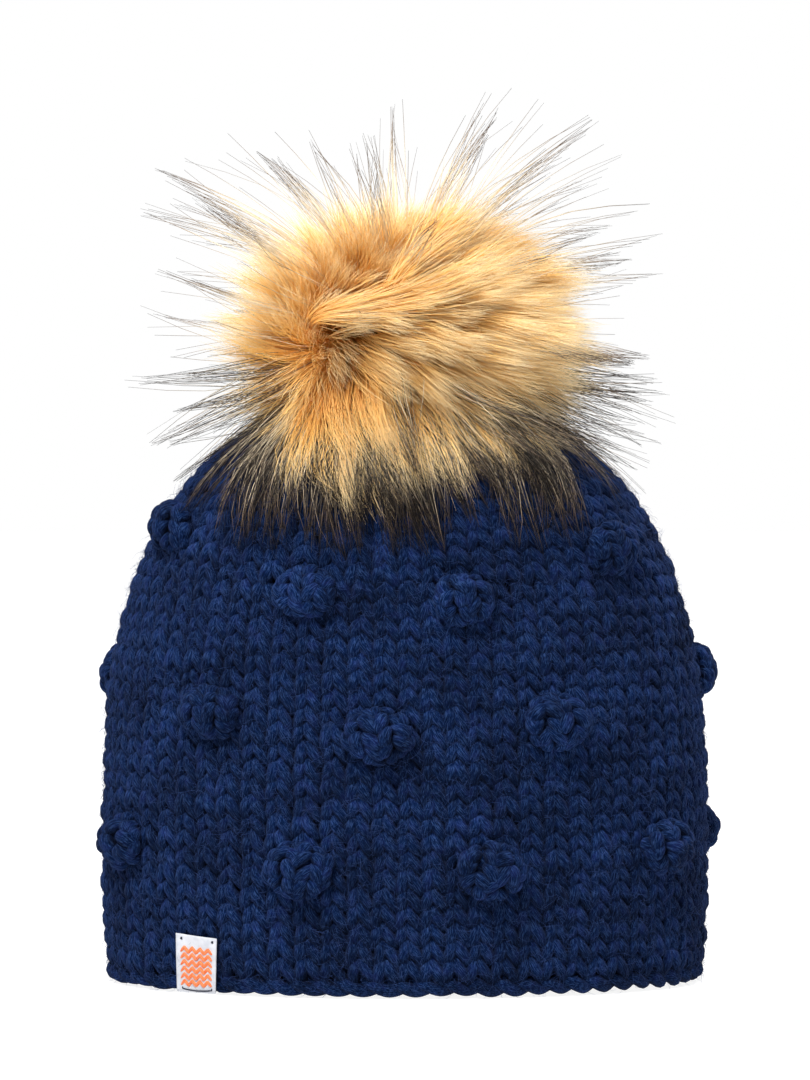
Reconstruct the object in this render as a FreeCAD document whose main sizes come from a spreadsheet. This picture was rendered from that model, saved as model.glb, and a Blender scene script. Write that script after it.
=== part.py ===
"""Pom pom beanie: a hand-knit hat with a faux-fur pom on a press stud.

Millimetres, +Z up. The origin is the middle of the hat's mouth, in the plane of the bottom edge.
The front of the hat faces -Y.
"""

import FreeCAD, Part

import math
import os

import Sketcher
from FreeCAD import Placement, Rotation, Vector

# Driving dimensions. Each one becomes an aliased cell of the sheet, which the objects are bound to.
SIZES = {
    # hat shell: an oval tube that closes in a superelliptic dome
    "rim_height": 12.0,
    "body_height": 135.0,
    "crown_top": 198.0,
    "dome_apex": 198.8,
    "dome_power": 2.7,
    "rounding_power": 3.0,
    "widest_height": 45.0,
    "widest_half_width": 104.0,
    "widest_half_depth": 68.0,
    "rim_draw_in": 3.5,
    "wall": 8.0,
    # yarn end that closes the crown
    "cinch_radius": 11.0,
    "cinch_yarn_radius": 2.2,
    "cinch_depth": 1.0,
    # bobbles
    "bobble_half_height": 9.5,
    "bobble_half_width": 11.0,
    "bobble_bulge": 9.0,
    # woven label folded round the edge
    "label_x": -70.7,
    "label_width": 14.0,
    "label_height": 20.0,
    "label_thickness": 0.8,
    "stitch_length": 3.0,
    "stitch_radius": 0.4,
    "stitch_inset": 1.6,
    # press stud, the half on the hat
    "rivet_radius": 1.5,
    "rivet_head_radius": 6.5,
    "rivet_head_thickness": 0.9,
    "backing_radius": 12.0,
    "backing_thickness": 1.2,
    "stud_flange_radius": 7.0,
    "stud_flange_thickness": 0.8,
    "stud_neck_radius": 3.2,
    "stud_neck_height": 1.8,
    "stud_head_radius": 3.5,
    "stud_head_height": 1.0,
    "stud_roof": 0.6,
    # press stud, the half on the pom
    "socket_radius": 7.2,
    "socket_bore_radius": 3.8,
    "socket_lift": 1.1,
    "socket_height": 3.6,
    "socket_roof": 0.5,
    "spring_lift": 2.0,
    "spring_wire_radius": 0.35,
    "spring_play": 0.05,
    "patch_radius": 14.0,
    "patch_thickness": 1.2,
    # pom
    "neck_radius": 4.0,
    "neck_play": 0.1,
    "thread_radius": 0.4,
    "thread_drop": 2.7,
    "core_radius": 24.0,
    "core_half_height": 18.0,
    "core_base": 207.0,
    "fur_backing": 2.0,
    "pile_radius": 63.0,
    "pile_half_height": 48.0,
    "pile_centre": 222.0,
    "pile_underside": 205.0,
    "pile_hollow_radius": 20.0,
    "tuft_root_depth": 0.85,
    "tuft_root_radius": 3.5,
    "tuft_tip_radius": 0.5,
}

# Heights of the dome's cross-sections: shares of the way from the tube's top to the crown's flat top.
DOME_SHARES = (0.0, 0.3, 0.55, 0.75, 0.88, 0.95, 0.985, 1.0)

# Rounds of bobbles: height at the hat's front, extra height at its sides, and the bobbles' angles
# from the front.
BOBBLE_ROUNDS = {
    "bobbles_lower": (42.5, 9.0, (-67, -20, 16, 58, 105, 152, 199, 246)),
    "bobbles_middle": (89.0, 17.0, (-40, -5, 30, 101, 140, 180, 216, 254)),
    "bobbles_upper": (134.0, 27.0, (-67, -21, 12, 52, 128, 159, 192, 233)),
}

# Rings of guard-hair tufts: angle above the horizontal, distance of the tips from the pile's centre,
# and number.
TUFT_RINGS = ((20, 92.0, 9), (45, 90.0, 8), (68, 86.0, 6))

# Turn of each ring's first tuft from +X, in radians, which keeps the tufts off the pile's seam.
FIRST_TUFT_TURN = 0.3

# Heights that several pieces share, as expressions over the sheet.
CROWN_INSIDE = "({crown_top} - {wall})"
STUD_TOP = "({crown_top} + {stud_flange_thickness} + {stud_neck_height} + {stud_head_height})"
SOCKET_BOTTOM = "({crown_top} + {socket_lift})"
SOCKET_TOP = f"({SOCKET_BOTTOM} + {{socket_height}})"
SPRING_HEIGHT = "({crown_top} + {spring_lift})"
PATCH_TOP = f"({SOCKET_TOP} + {{patch_thickness}})"
NECK_HEIGHT = f"({PATCH_TOP} + {{rivet_head_thickness}} + {{neck_play}} + {{neck_radius}})"
CORE_HEIGHT = "({core_base} + {core_half_height})"

doc = FreeCAD.newDocument("pom_pom_beanie")
nodes = []


def fill_sheet():
    """The sheet of driving dimensions."""
    sheet = doc.addObject("Spreadsheet::Sheet", "sizes")
    for row, (alias, value) in enumerate(SIZES.items(), start=1):
        sheet.set(f"A{row}", alias)
        sheet.set(f"B{row}", str(value))
        sheet.setAlias(f"B{row}", alias)
    doc.recompute()


def sheet_formula(text):
    """An expression over the sheet, from one that writes each alias in braces."""
    return text.format(**{alias: f"sizes.{alias}" for alias in SIZES})


def bind(item, **formulas):
    """Bind properties to expressions. A double underscore stands for the dot of a property's part."""
    for name, text in formulas.items():
        item.setExpression(name.replace("__", "."), sheet_formula(text))
    return item


def lifted(item, height):
    """Bind an object's height."""
    return bind(item, Placement__Base__z=height)


def cylinder(name, radius, height, foot):
    item = doc.addObject("Part::Cylinder", name)
    return lifted(bind(item, Radius=radius, Height=height), foot)


def ellipsoid(name, half_width, half_height, centre):
    """An ellipsoid that is round in plan."""
    item = doc.addObject("Part::Ellipsoid", name)
    return lifted(bind(item, Radius1=half_height, Radius2=half_width, Radius3=half_width), centre)


def torus(name, ring_radius, wire_radius, centre):
    item = doc.addObject("Part::Torus", name)
    return lifted(bind(item, Radius1=ring_radius, Radius2=wire_radius), centre)


def column(name, left, length, foot, height):
    """A block over the front half of the hat, from one place across it to another."""
    item = doc.addObject("Part::Box", name)
    bind(item, Length=length, Width="4 * {widest_half_depth}", Height=height)
    bind(item, Placement__Base__x=left, Placement__Base__y="-4 * {widest_half_depth}")
    return lifted(item, foot)


def slab(name, foot, top):
    """A block wider than the hat, between two heights."""
    item = doc.addObject("Part::Box", name)
    reach = "4 * {widest_half_width}"
    bind(item, Length=reach, Width=reach, Height=f"{top} - {foot}")
    bind(item, Placement__Base__x=f"-{reach} / 2", Placement__Base__y=f"-{reach} / 2")
    return lifted(item, foot)


def cut(name, base, tool):
    item = doc.addObject("Part::Cut", name)
    item.Base = base
    item.Tool = tool
    return item


def common(name, base, tool):
    item = doc.addObject("Part::Common", name)
    item.Base = base
    item.Tool = tool
    return item


def compound(name, links):
    item = doc.addObject("Part::Compound", name)
    item.Links = links
    return item


def node(item, label):
    """Give a finished sub-part its Label, which names its file."""
    item.Label = label
    nodes.append(item)
    return item


def oval(name, height, inset):
    """One cross-section of the shell's surface, moved inwards by the inset."""
    item = doc.addObject("Part::Ellipse", name)
    rise = f"max(0; ({height} - {{widest_height}}) / ({{dome_apex}} - {inset} - {{widest_height}}))"
    draw_in = f"{{rim_draw_in}} * min(0; ({height} - {{widest_height}}) / {{widest_height}}) ^ 2"
    closing = f"(1 - {rise} ^ {{dome_power}}) ^ (1 / {{dome_power}})"
    rounding = f"({{widest_half_width}} - {{widest_half_depth}}) * {rise} ^ {{rounding_power}}"
    bind(
        item,
        MajorRadius=f"({{widest_half_width}} - {inset} - {draw_in}) * {closing}",
        MinorRadius=f"({{widest_half_depth}} - {inset} - {draw_in} + {rounding}) * {closing}",
    )
    return lifted(item, height)


def oval_solid(name, inset, foot, top):
    """The solid inside the shell's surface, moved inwards by the inset, between two heights."""
    heights = [foot, "{rim_height}", "{widest_height}", "({widest_height} + {body_height}) / 2"]
    heights += [f"({{body_height}} + {share} * ({top} - {{body_height}}))" for share in DOME_SHARES]
    loft = doc.addObject("Part::Loft", name)
    loft.Sections = [oval(f"{name}_{i}", height, inset) for i, height in enumerate(heights)]
    loft.Solid = True
    return loft


def outer_half_axes(height):
    """The shell's outer half-width and half-depth at a height, by the formula of its cross-sections."""
    rise = max(0.0, (height - SIZES["widest_height"]) / (SIZES["dome_apex"] - SIZES["widest_height"]))
    closing = (1 - rise ** SIZES["dome_power"]) ** (1 / SIZES["dome_power"])
    rounding = (SIZES["widest_half_width"] - SIZES["widest_half_depth"]) * rise ** SIZES["rounding_power"]
    return SIZES["widest_half_width"] * closing, (SIZES["widest_half_depth"] + rounding) * closing


def make_shell(outside, inside):
    """The knitted shell in three rounds of work: cast-on edge, tube and crown."""
    shell = cut("shell", outside, inside)
    rim = common("rim", shell, slab("rim_slab", "0", "{rim_height}"))
    notch_left = "{label_x} - {label_width} / 2"
    notch = column("label_notch", notch_left, "{label_width}", "0", "{label_thickness}")
    node(cut("rim_with_notch", rim, notch), "cast_on_edge")
    node(common("tube", shell, slab("tube_slab", "{rim_height}", "{body_height}")), "knit_body")

    dome = common("dome", shell, slab("dome_slab", "{body_height}", "{crown_top}"))
    cinch = torus("cinch_ring", "{cinch_radius}", "{cinch_yarn_radius}", "({crown_top} - {cinch_depth})")
    rivet_hole = cylinder("rivet_hole", "{rivet_radius}", "2 * {wall}", "{crown_top} - 1.5 * {wall}")
    node(cut("dome_with_hole", cut("dome_with_channel", dome, cinch), rivet_hole), "crown")
    node(cinch, "cinch_yarn")


def make_bobbles(outside):
    """Rounds of knitted balls that stand half out of the shell."""
    for name, (front_height, side_rise, degrees) in BOBBLE_ROUNDS.items():
        balls = []
        for i, angle in enumerate(math.radians(turn) for turn in degrees):
            height = front_height + side_rise * math.sin(angle) ** 2
            half_width, half_depth = outer_half_axes(height)
            centre = Vector(half_width * math.sin(angle), -half_depth * math.cos(angle), height)
            outward = Vector(math.sin(angle) / half_width, -math.cos(angle) / half_depth, 0)
            along = Vector(0, 0, 1).cross(outward)
            ball = doc.addObject("Part::Ellipsoid", f"{name}_ball_{i}")
            bind(ball, Radius1="{bobble_bulge}", Radius2="{bobble_half_width}")
            bind(ball, Radius3="{bobble_half_height}")
            ball.Placement = Placement(centre, Rotation(along, Vector(0, 0, 1), outward, "ZXY"))
            balls.append(ball)
        node(cut(f"{name}_on_shell", compound(f"{name}_balls", balls), outside), name)


def make_label(outside, inside):
    """A woven strip folded round the bottom edge, with a thread stitch near each corner."""
    face = oval_solid("label_face", "(-{label_thickness})", "0", "{crown_top}")
    back = oval_solid("label_back", "({wall} + {label_thickness})", "(-1)", "({crown_top} - 2 * {wall})")
    strip_left = "{label_x} - {label_width} / 2"
    strip = column("label_column", strip_left, "{label_width}", "0", "{label_height}")
    layers = common("label_layers", cut("label_band", face, back), strip)
    knitting = cut("knitting_in_fold", outside, inside)
    above_fold = slab("above_fold", "{label_thickness}", "{crown_top}")
    filled = common("knitting_above_fold", knitting, above_fold)
    node(cut("label_fold", layers, filled), "label_strip")

    half_width, half_depth = outer_half_axes(SIZES["label_height"])
    bars = []
    for side in (-1, 1):
        across = SIZES["label_x"] + side * (SIZES["label_width"] / 2 - SIZES["stitch_inset"])
        depth = half_depth * math.sqrt(1 - (across / half_width) ** 2) + SIZES["label_thickness"]
        for end, foot in (
            ("low", "{stitch_inset}"),
            ("high", "{label_height} - {stitch_inset} - {stitch_length}"),
        ):
            name = f"stitch_{end}_{'left' if side < 0 else 'right'}"
            bar = cylinder(name, "{stitch_radius}", "{stitch_length}", foot)
            bar.Placement.Base = Vector(across, -depth, 0)
            bars.append(bar)
    node(cut("stitches_on_label", compound("stitch_bars", bars), face), "label_stitches")


def turned(name, outline):
    """A PartDesign body turned about Z. The outline is a closed run of (radius, height) expressions."""
    body = doc.addObject("PartDesign::Body", name)
    sketch = body.newObject("Sketcher::SketchObject", f"{name}_outline")
    plane = next(item for item in body.Origin.OriginFeatures if item.Role == "XZ_Plane")
    sketch.AttachmentSupport = (plane, "")
    sketch.MapMode = "FlatFace"

    # The outline is first drawn as a regular polygon, which its bound distances then pull to size.
    count = len(outline)
    start = [Vector(10 + 5 * math.cos(turn), 5 * math.sin(turn), 0) for turn in even_turns(count)]
    for i in range(count):
        sketch.addGeometry(Part.LineSegment(start[i], start[(i + 1) % count]), False)
    for i in range(count):
        sketch.addConstraint(Sketcher.Constraint("Coincident", i, 2, (i + 1) % count, 1))
    for i, (radius, height) in enumerate(outline):
        across = sketch.addConstraint(Sketcher.Constraint("DistanceX", -1, 1, i, 1, start[i].x))
        up = sketch.addConstraint(Sketcher.Constraint("DistanceY", -1, 1, i, 1, start[i].y))
        sketch.setExpression(f"Constraints[{across}]", sheet_formula(radius))
        sketch.setExpression(f"Constraints[{up}]", sheet_formula(height))

    turn = body.newObject("PartDesign::Revolution", f"{name}_turn")
    turn.Profile = sketch
    turn.ReferenceAxis = (sketch, ["V_Axis"])
    turn.Angle = 360
    body.Tip = turn
    return node(body, name)


def even_turns(count):
    """Angles of a number of even steps round a circle, in radians."""
    return [2 * math.pi * i / count for i in range(count)]


def drilled_disc(name, radius, thickness, foot):
    """A disc with the rivet's hole through it."""
    disc = cylinder(f"{name}_blank", radius, thickness, foot)
    hole = cylinder(f"{name}_hole", "{rivet_radius}", thickness, foot)
    return node(cut(f"{name}_drilled", disc, hole), name)


def rivet(name, head_face, seat, tip):
    """A flat-headed rivet with a plain shank. The head lies between its face and its seat."""
    outline = (
        ("0", head_face),
        ("{rivet_head_radius}", head_face),
        ("{rivet_head_radius}", seat),
        ("{rivet_radius}", seat),
        ("{rivet_radius}", tip),
        ("0", tip),
    )
    return turned(name, outline)


def make_stud():
    """The stud half of the press stud: a felt disc and a rivet inside the crown, and the stud on top."""
    disc_foot = f"({CROWN_INSIDE} - {{backing_thickness}})"
    bore_top = f"({STUD_TOP} - {{stud_roof}})"
    drilled_disc("snap_backing_disc", "{backing_radius}", "{backing_thickness}", disc_foot)
    rivet("snap_post_cap", f"({disc_foot} - {{rivet_head_thickness}})", disc_foot, bore_top)

    flange_top = "({crown_top} + {stud_flange_thickness})"
    neck_top = f"({flange_top} + {{stud_neck_height}})"
    outline = (
        ("{rivet_radius}", "{crown_top}"),
        ("{stud_flange_radius}", "{crown_top}"),
        ("{stud_flange_radius}", flange_top),
        ("{stud_neck_radius}", flange_top),
        ("{stud_neck_radius}", neck_top),
        ("{stud_head_radius}", neck_top),
        ("{stud_head_radius}", STUD_TOP),
        ("0", STUD_TOP),
        ("0", bore_top),
        ("{rivet_radius}", bore_top),
    )
    turned("snap_stud", outline)


def make_socket():
    """The socket half of the press stud, the ring spring in its groove, and the patch that carries it."""
    spring_ring = "({stud_head_radius} + {spring_play} + {spring_wire_radius})"
    node(torus("spring_ring", spring_ring, "{spring_wire_radius}", SPRING_HEIGHT), "snap_spring")

    groove_radius = f"({spring_ring} + {{spring_wire_radius}} + {{spring_play}})"
    groove_foot = f"({SPRING_HEIGHT} - {{spring_wire_radius}} - {{spring_play}})"
    groove_top = f"({SPRING_HEIGHT} + {{spring_wire_radius}} + {{spring_play}})"
    roof_foot = f"({SOCKET_TOP} - {{socket_roof}})"
    outline = (
        ("{socket_bore_radius}", SOCKET_BOTTOM),
        ("{socket_radius}", SOCKET_BOTTOM),
        ("{socket_radius}", SOCKET_TOP),
        ("{rivet_radius}", SOCKET_TOP),
        ("{rivet_radius}", roof_foot),
        ("{socket_bore_radius}", roof_foot),
        ("{socket_bore_radius}", groove_top),
        (groove_radius, groove_top),
        (groove_radius, groove_foot),
        ("{socket_bore_radius}", groove_foot),
    )
    turned("snap_socket", outline)
    drilled_disc("pom_base_patch", "{patch_radius}", "{patch_thickness}", SOCKET_TOP)
    rivet("snap_socket_cap", f"({PATCH_TOP} + {{rivet_head_thickness}})", PATCH_TOP, roof_foot)


def make_pom():
    """The pom: a stuffed bag of fur backing with a tied neck, its dense pile, and long guard hairs."""
    core = ellipsoid("core", "{core_radius}", "{core_half_height}", CORE_HEIGHT)
    filling = ellipsoid(
        "filling",
        "({core_radius} - {fur_backing})",
        "({core_half_height} - {fur_backing})",
        CORE_HEIGHT,
    )
    neck = doc.addObject("Part::Sphere", "neck")
    lifted(bind(neck, Radius="{neck_radius}"), NECK_HEIGHT)
    bag = doc.addObject("Part::Fuse", "bag")
    bag.Base = core
    bag.Tool = neck
    backing = node(cut("bag_hollow", bag, filling), "pom_backing")
    node(filling, "pom_stuffing")

    thread_ring = "(sqrt({neck_radius} ^ 2 - {thread_drop} ^ 2) + {thread_radius})"
    thread = torus("thread_ring", thread_ring, "{thread_radius}", f"({NECK_HEIGHT} - {{thread_drop}})")
    node(cut("thread_on_neck", thread, backing), "gather_thread")

    mound = ellipsoid("mound", "{pile_radius}", "{pile_half_height}", "{pile_centre}")
    lower_part = slab("below_pile", "0", "{pile_underside}")
    hollow = cylinder("pile_hollow", "{pile_hollow_radius}", "{pile_centre} - {wall}", "{wall}")
    pile = cut("pile_flat_below", mound, lower_part)
    pile = cut("pile_round_core", pile, core)
    node(cut("pile_over_neck", pile, hollow), "pom_fur")

    tufts = []
    for elevation, tip, count in TUFT_RINGS:
        for i, turn in enumerate(even_turns(count)):
            name = f"tuft_{elevation}_{i}"
            cone = tuft(name, elevation, tip, FIRST_TUFT_TURN + turn)
            tufts.append(cut(f"{name}_on_pile", cone, mound))
    node(compound("tufts", tufts), "guard_hair")


def tuft(name, elevation, tip, turn):
    """One tuft of guard hairs: a slender cone that points away from the pile's centre."""
    item = doc.addObject("Part::Cone", name)
    bind(item, Radius1="{tuft_root_radius}", Radius2="{tuft_tip_radius}")
    root = SIZES["tuft_root_depth"] * SIZES["pile_half_height"]
    item.Height = tip - root
    rise = math.radians(elevation)
    away = Vector(math.cos(rise) * math.cos(turn), math.cos(rise) * math.sin(turn), math.sin(rise))
    foot = Vector(0, 0, SIZES["pile_centre"]) + away * root
    item.Placement = Placement(foot, Rotation(Vector(0, 0, 1), away))
    return item


def check_document():
    """Stop if any object failed, or if a sub-part's shape is missing or invalid."""
    failed = [item.Name for item in doc.Objects if {"Invalid", "Error"} & set(item.State)]
    if failed:
        raise RuntimeError(f"objects that failed: {failed}")
    for item in nodes:
        if item.Shape.isNull() or not item.Shape.isValid() or not item.Shape.Solids:
            raise RuntimeError(f"sub-part {item.Label} has no valid solid")


def export_nodes():
    """Write each sub-part to a file named after its Label."""
    os.makedirs("parts", exist_ok=True)
    for item in nodes:
        item.Shape.exportStep(f"parts/{item.Label}.step")
        print(f"{item.Label}: {len(item.Shape.Solids)} solids, {item.Shape.Volume / 1000:.2f} cm3")


fill_sheet()
shell_outside = oval_solid("shell_outside", "0", "0", "{crown_top}")
shell_inside = oval_solid("shell_inside", "{wall}", "(-1)", CROWN_INSIDE)
make_shell(shell_outside, shell_inside)
make_bobbles(shell_outside)
make_label(shell_outside, shell_inside)
make_stud()
make_socket()
make_pom()
doc.recompute()
check_document()
export_nodes()
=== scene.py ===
"""Looks of the pom pom beanie, in metres: knitting yarn by yarn, bobbles, a label and a faux-fur pom."""

import math

import bpy
import numpy as np
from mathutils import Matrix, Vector


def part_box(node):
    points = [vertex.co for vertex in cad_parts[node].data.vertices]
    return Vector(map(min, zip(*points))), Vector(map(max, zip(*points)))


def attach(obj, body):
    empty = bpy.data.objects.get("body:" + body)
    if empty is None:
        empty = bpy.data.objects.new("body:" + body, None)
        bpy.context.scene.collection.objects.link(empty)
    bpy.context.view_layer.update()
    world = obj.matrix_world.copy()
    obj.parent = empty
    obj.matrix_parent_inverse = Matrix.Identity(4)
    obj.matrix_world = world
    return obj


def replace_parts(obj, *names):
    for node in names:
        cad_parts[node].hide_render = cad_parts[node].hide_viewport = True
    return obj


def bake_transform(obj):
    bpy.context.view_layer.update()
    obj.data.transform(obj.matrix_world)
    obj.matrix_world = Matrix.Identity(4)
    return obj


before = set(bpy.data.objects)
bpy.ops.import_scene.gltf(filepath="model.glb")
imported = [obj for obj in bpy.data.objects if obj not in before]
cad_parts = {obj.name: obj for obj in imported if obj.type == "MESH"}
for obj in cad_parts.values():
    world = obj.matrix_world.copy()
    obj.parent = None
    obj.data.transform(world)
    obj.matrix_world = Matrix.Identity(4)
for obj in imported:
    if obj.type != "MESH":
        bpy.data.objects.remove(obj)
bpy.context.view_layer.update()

MM = 0.001

# The hat's surface, as its solids have it: an oval tube that closes in a superelliptic dome.
BODY_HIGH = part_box("knit_body")[1]
CROWN_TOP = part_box("crown")[1][2]
HALF_WIDTH = BODY_HIGH[0]
HALF_DEPTH = BODY_HIGH[1]
RIM_DRAW_IN = HALF_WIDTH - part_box("cast_on_edge")[1][0]
WIDEST = 45 * MM
APEX = CROWN_TOP + 0.8 * MM
DOME_POWER = 2.7
ROUNDING_POWER = 3.0
WALL = 8 * MM

# Gauge of the knitting.
STITCHES = 63
ROW_PITCH = 6.1 * MM
FIRST_ROW = 9.2 * MM
YARN_RADIUS = 2.35 * MM
LOOP_RISE = 6.0 * MM
LOOP_SWING = 0.27
LOOP_DEPTH = 1.9 * MM
LOOP_LEAN = 0.16
SMALLEST_STITCH = 8.0 * MM
DECREASE_STEP = 7
LOOP_STEPS = 18
YARN_SIDES = 10
ROUNDS_PER_PIECE = 8

# The label, as its solid has it.
LABEL_LOW, LABEL_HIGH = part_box("label_strip")
LABEL_X = (LABEL_LOW[0] + LABEL_HIGH[0]) / 2
LABEL_WIDTH = LABEL_HIGH[0] - LABEL_LOW[0]
LABEL_HEIGHT = LABEL_HIGH[2]

rng = np.random.default_rng(20)


# ---------------------------------------------------------------- vectors and the hat's surface


def unit(v):
    return v / np.maximum(np.linalg.norm(v, axis=-1, keepdims=True), 1e-12)


def smooth(x):
    x = np.clip(x, 0, 1)
    return x * x * (3 - 2 * x)


def half_axes(z):
    """Half-width and half-depth of the hat's outer surface at a height."""
    rise = np.clip((z - WIDEST) / (APEX - WIDEST), 0, 1)
    closing = (1 - rise**DOME_POWER) ** (1 / DOME_POWER)
    draw_in = RIM_DRAW_IN * np.minimum(0, (z - WIDEST) / WIDEST) ** 2
    rounding = (HALF_WIDTH - HALF_DEPTH) * rise**ROUNDING_POWER
    return (HALF_WIDTH - draw_in) * closing, (HALF_DEPTH - draw_in + rounding) * closing


def meridian_tables():
    """Heights along the hat's side against the length of the way up it, to the middle of the crown."""
    turn = np.linspace(0, math.pi / 2, 2000)
    rise = np.sin(turn) ** (2 / DOME_POWER)
    height = np.concatenate([np.linspace(0, WIDEST, 50)[:-1], WIDEST + (APEX - WIDEST) * rise])
    wide, deep = half_axes(height)
    radius = (wide + deep) / 2
    length = np.concatenate([[0], np.cumsum(np.hypot(np.diff(height), np.diff(radius)))])
    return length, height


def round_tables():
    """Angles from the front against the share of the way round, for ovals from flat to circular."""
    ratios = np.linspace(0.6, 1.0, 21)
    angle = np.linspace(0, 2 * math.pi, 1441)
    table = []
    for ratio in ratios:
        step = np.hypot(np.cos(angle), ratio * np.sin(angle))
        share = np.concatenate([[0], np.cumsum((step[1:] + step[:-1]) / 2)])
        table.append(np.interp(np.linspace(0, 1, angle.size), share / share[-1], angle))
    return ratios, np.array(table)


MERIDIAN_LENGTH, MERIDIAN_HEIGHT = meridian_tables()
RATIOS, ROUND_ANGLES = round_tables()


def height_at(climb):
    return np.interp(climb, MERIDIAN_LENGTH, MERIDIAN_HEIGHT)


def climb_at(height):
    return np.interp(height, MERIDIAN_HEIGHT, MERIDIAN_LENGTH)


def angle_at(share, ratio):
    """The oval's own angle, from the front, at a share of the way round."""
    r = np.clip((ratio - RATIOS[0]) / (RATIOS[1] - RATIOS[0]), 0, len(RATIOS) - 1.001)
    c = (share % 1.0) * (ROUND_ANGLES.shape[1] - 1)
    r0, c0 = r.astype(int), np.minimum(c.astype(int), ROUND_ANGLES.shape[1] - 2)
    fr, fc = r - r0, c - c0
    low = ROUND_ANGLES[r0, c0] * (1 - fc) + ROUND_ANGLES[r0, c0 + 1] * fc
    high = ROUND_ANGLES[r0 + 1, c0] * (1 - fc) + ROUND_ANGLES[r0 + 1, c0 + 1] * fc
    return low * (1 - fr) + high * fr


def on_surface(share, climb):
    """Points of the hat's outer surface, a share of the way round and a length up its side."""
    z = height_at(climb)
    wide, deep = half_axes(z)
    angle = angle_at(share, deep / np.maximum(wide, 1e-6))
    return np.stack([wide * np.sin(angle), -deep * np.cos(angle), z], axis=-1)


def surface_frame(share, climb):
    """Points of the surface with its outward normals, and the directions round and up it."""
    step = 0.4 * MM
    point = on_surface(share, climb)
    around = unit(on_surface(share + 0.0008, climb) - on_surface(share - 0.0008, climb))
    up = unit(on_surface(share, climb + step) - on_surface(share, climb - step))
    out = unit(np.cross(around, up))
    return point, out, around, up


def place(share, climb, proud):
    """Points that stand proud of the surface, with the outward normals there."""
    point, out, _, _ = surface_frame(share, climb)
    return point + out * np.asarray(proud)[..., None], out


def perimeter(climb):
    wide, deep = half_axes(height_at(climb))
    lump = ((wide - deep) / (wide + deep)) ** 2
    return math.pi * (wide + deep) * (1 + 3 * lump / (10 + np.sqrt(4 - 3 * lump)))


# ---------------------------------------------------------------- meshes


def full_turn(steps):
    """Evenly spaced angles, once round."""
    return 2 * math.pi * np.arange(steps) / steps


def round_points(radius, turn, height):
    """Points round Z, at angles from the front."""
    return np.stack(np.broadcast_arrays(radius * np.sin(turn), -radius * np.cos(turn), height), -1)


def grid_corners(rows, columns):
    """Row and column numbers of the four corners of each cell of a grid."""
    n, k = np.meshgrid(np.arange(rows), np.arange(columns), indexing="ij")
    return [(n, k), (n, k + 1), (n + 1, k + 1), (n + 1, k)]


def other_way_round(corners):
    """The same corners in the order that faces the other side."""
    return corners[:1] + corners[:0:-1]


def corner_values(pairs):
    """The two values at each corner of each face, from a pair of arrays for each of four corners."""
    return np.stack([np.stack(np.broadcast_arrays(*pair), -1) for pair in pairs], axis=-2).reshape(-1, 4, 2)


def make_mesh(name, points, faces, maps, material):
    """A mesh object. faces is a list of index arrays, and maps gives each UV layer a matching list."""
    mesh = bpy.data.meshes.new(name)
    mesh.vertices.add(len(points))
    mesh.vertices.foreach_set("co", np.asarray(points, np.float32).ravel())
    sizes = np.concatenate([np.full(len(f), f.shape[1]) for f in faces])
    corners = np.concatenate([f.ravel() for f in faces])
    mesh.loops.add(len(corners))
    mesh.loops.foreach_set("vertex_index", corners.astype(np.int32))
    mesh.polygons.add(len(sizes))
    starts = np.concatenate([[0], np.cumsum(sizes)[:-1]])
    mesh.polygons.foreach_set("loop_start", starts.astype(np.int32))
    mesh.polygons.foreach_set("use_smooth", np.ones(len(sizes), bool))
    for layer, values in maps.items():
        uv = mesh.uv_layers.new(name=layer)
        flat = np.concatenate([np.asarray(v, np.float32).reshape(-1, 2) for v in values])
        uv.data.foreach_set("uv", flat.ravel())
    mesh.update(calc_edges=True)
    mesh.validate()
    mesh.materials.append(material)
    piece = bpy.data.objects.new(name, mesh)
    bpy.context.scene.collection.objects.link(piece)
    return piece


def ring_points(centre, radius, sides, reference, tangent=None, flatten=1.0):
    """Rings of points round centre lines. centre is (..., steps, 3), and reference points outwards."""
    if tangent is None:
        tangent = unit(np.gradient(centre, axis=-2))
    side = unit(np.cross(reference, tangent))
    out = np.cross(tangent, side)
    turn = full_turn(sides) - math.pi / 2
    across = np.cos(turn)[:, None] * side[..., None, :]
    above = flatten * np.sin(turn)[:, None] * out[..., None, :]
    return centre[..., None, :] + radius[..., None, None] * (across + above)


def closed_yarns(name, centre, radius, reference, openness, material, length_per_step):
    """Closed loops of yarn as one mesh, from lists with an array for each loop.

    openness says how far each step lies in the open: 0 is tucked behind other yarn and 1 is in front.
    The layer Section holds it, with the place round the yarn's section: 0.5 faces outwards. The wool
    material paints shade from this layer.
    """
    points, faces, bake, yarn, section = [], [], [], [], []
    base = 0
    sides = YARN_SIDES
    girth = 2 * math.pi * YARN_RADIUS
    for row, (line, thick, out, bare) in enumerate(zip(centre, radius, reference, openness)):
        tangent = unit(np.roll(line, -1, axis=0) - np.roll(line, 1, axis=0))
        ring = ring_points(line, thick, sides, out, tangent)
        count = len(line)
        corners = grid_corners(count, sides)
        index = [base + (i % count) * sides + (j % sides) for i, j in corners]
        faces.append(np.stack(index, axis=-1).reshape(-1, 4))
        in_row = [(row + 0.02 + 0.96 * j / sides) / len(centre) for _, j in corners]
        bake.append(corner_values([(i / count, v) for (i, _), v in zip(corners, in_row)]))
        around = [j * girth / sides + 0.1 * row for _, j in corners]
        yarn.append(corner_values([(i * length_per_step, v) for (i, _), v in zip(corners, around)]))
        section.append(corner_values([(bare[i % count], j / sides) for i, j in corners]))
        points.append(ring.reshape(-1, 3))
        base += count * sides
    maps = {"OFBake": bake, "Yarn": yarn, "Section": section}
    return make_mesh(name, np.concatenate(points), faces, maps, material)


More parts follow.
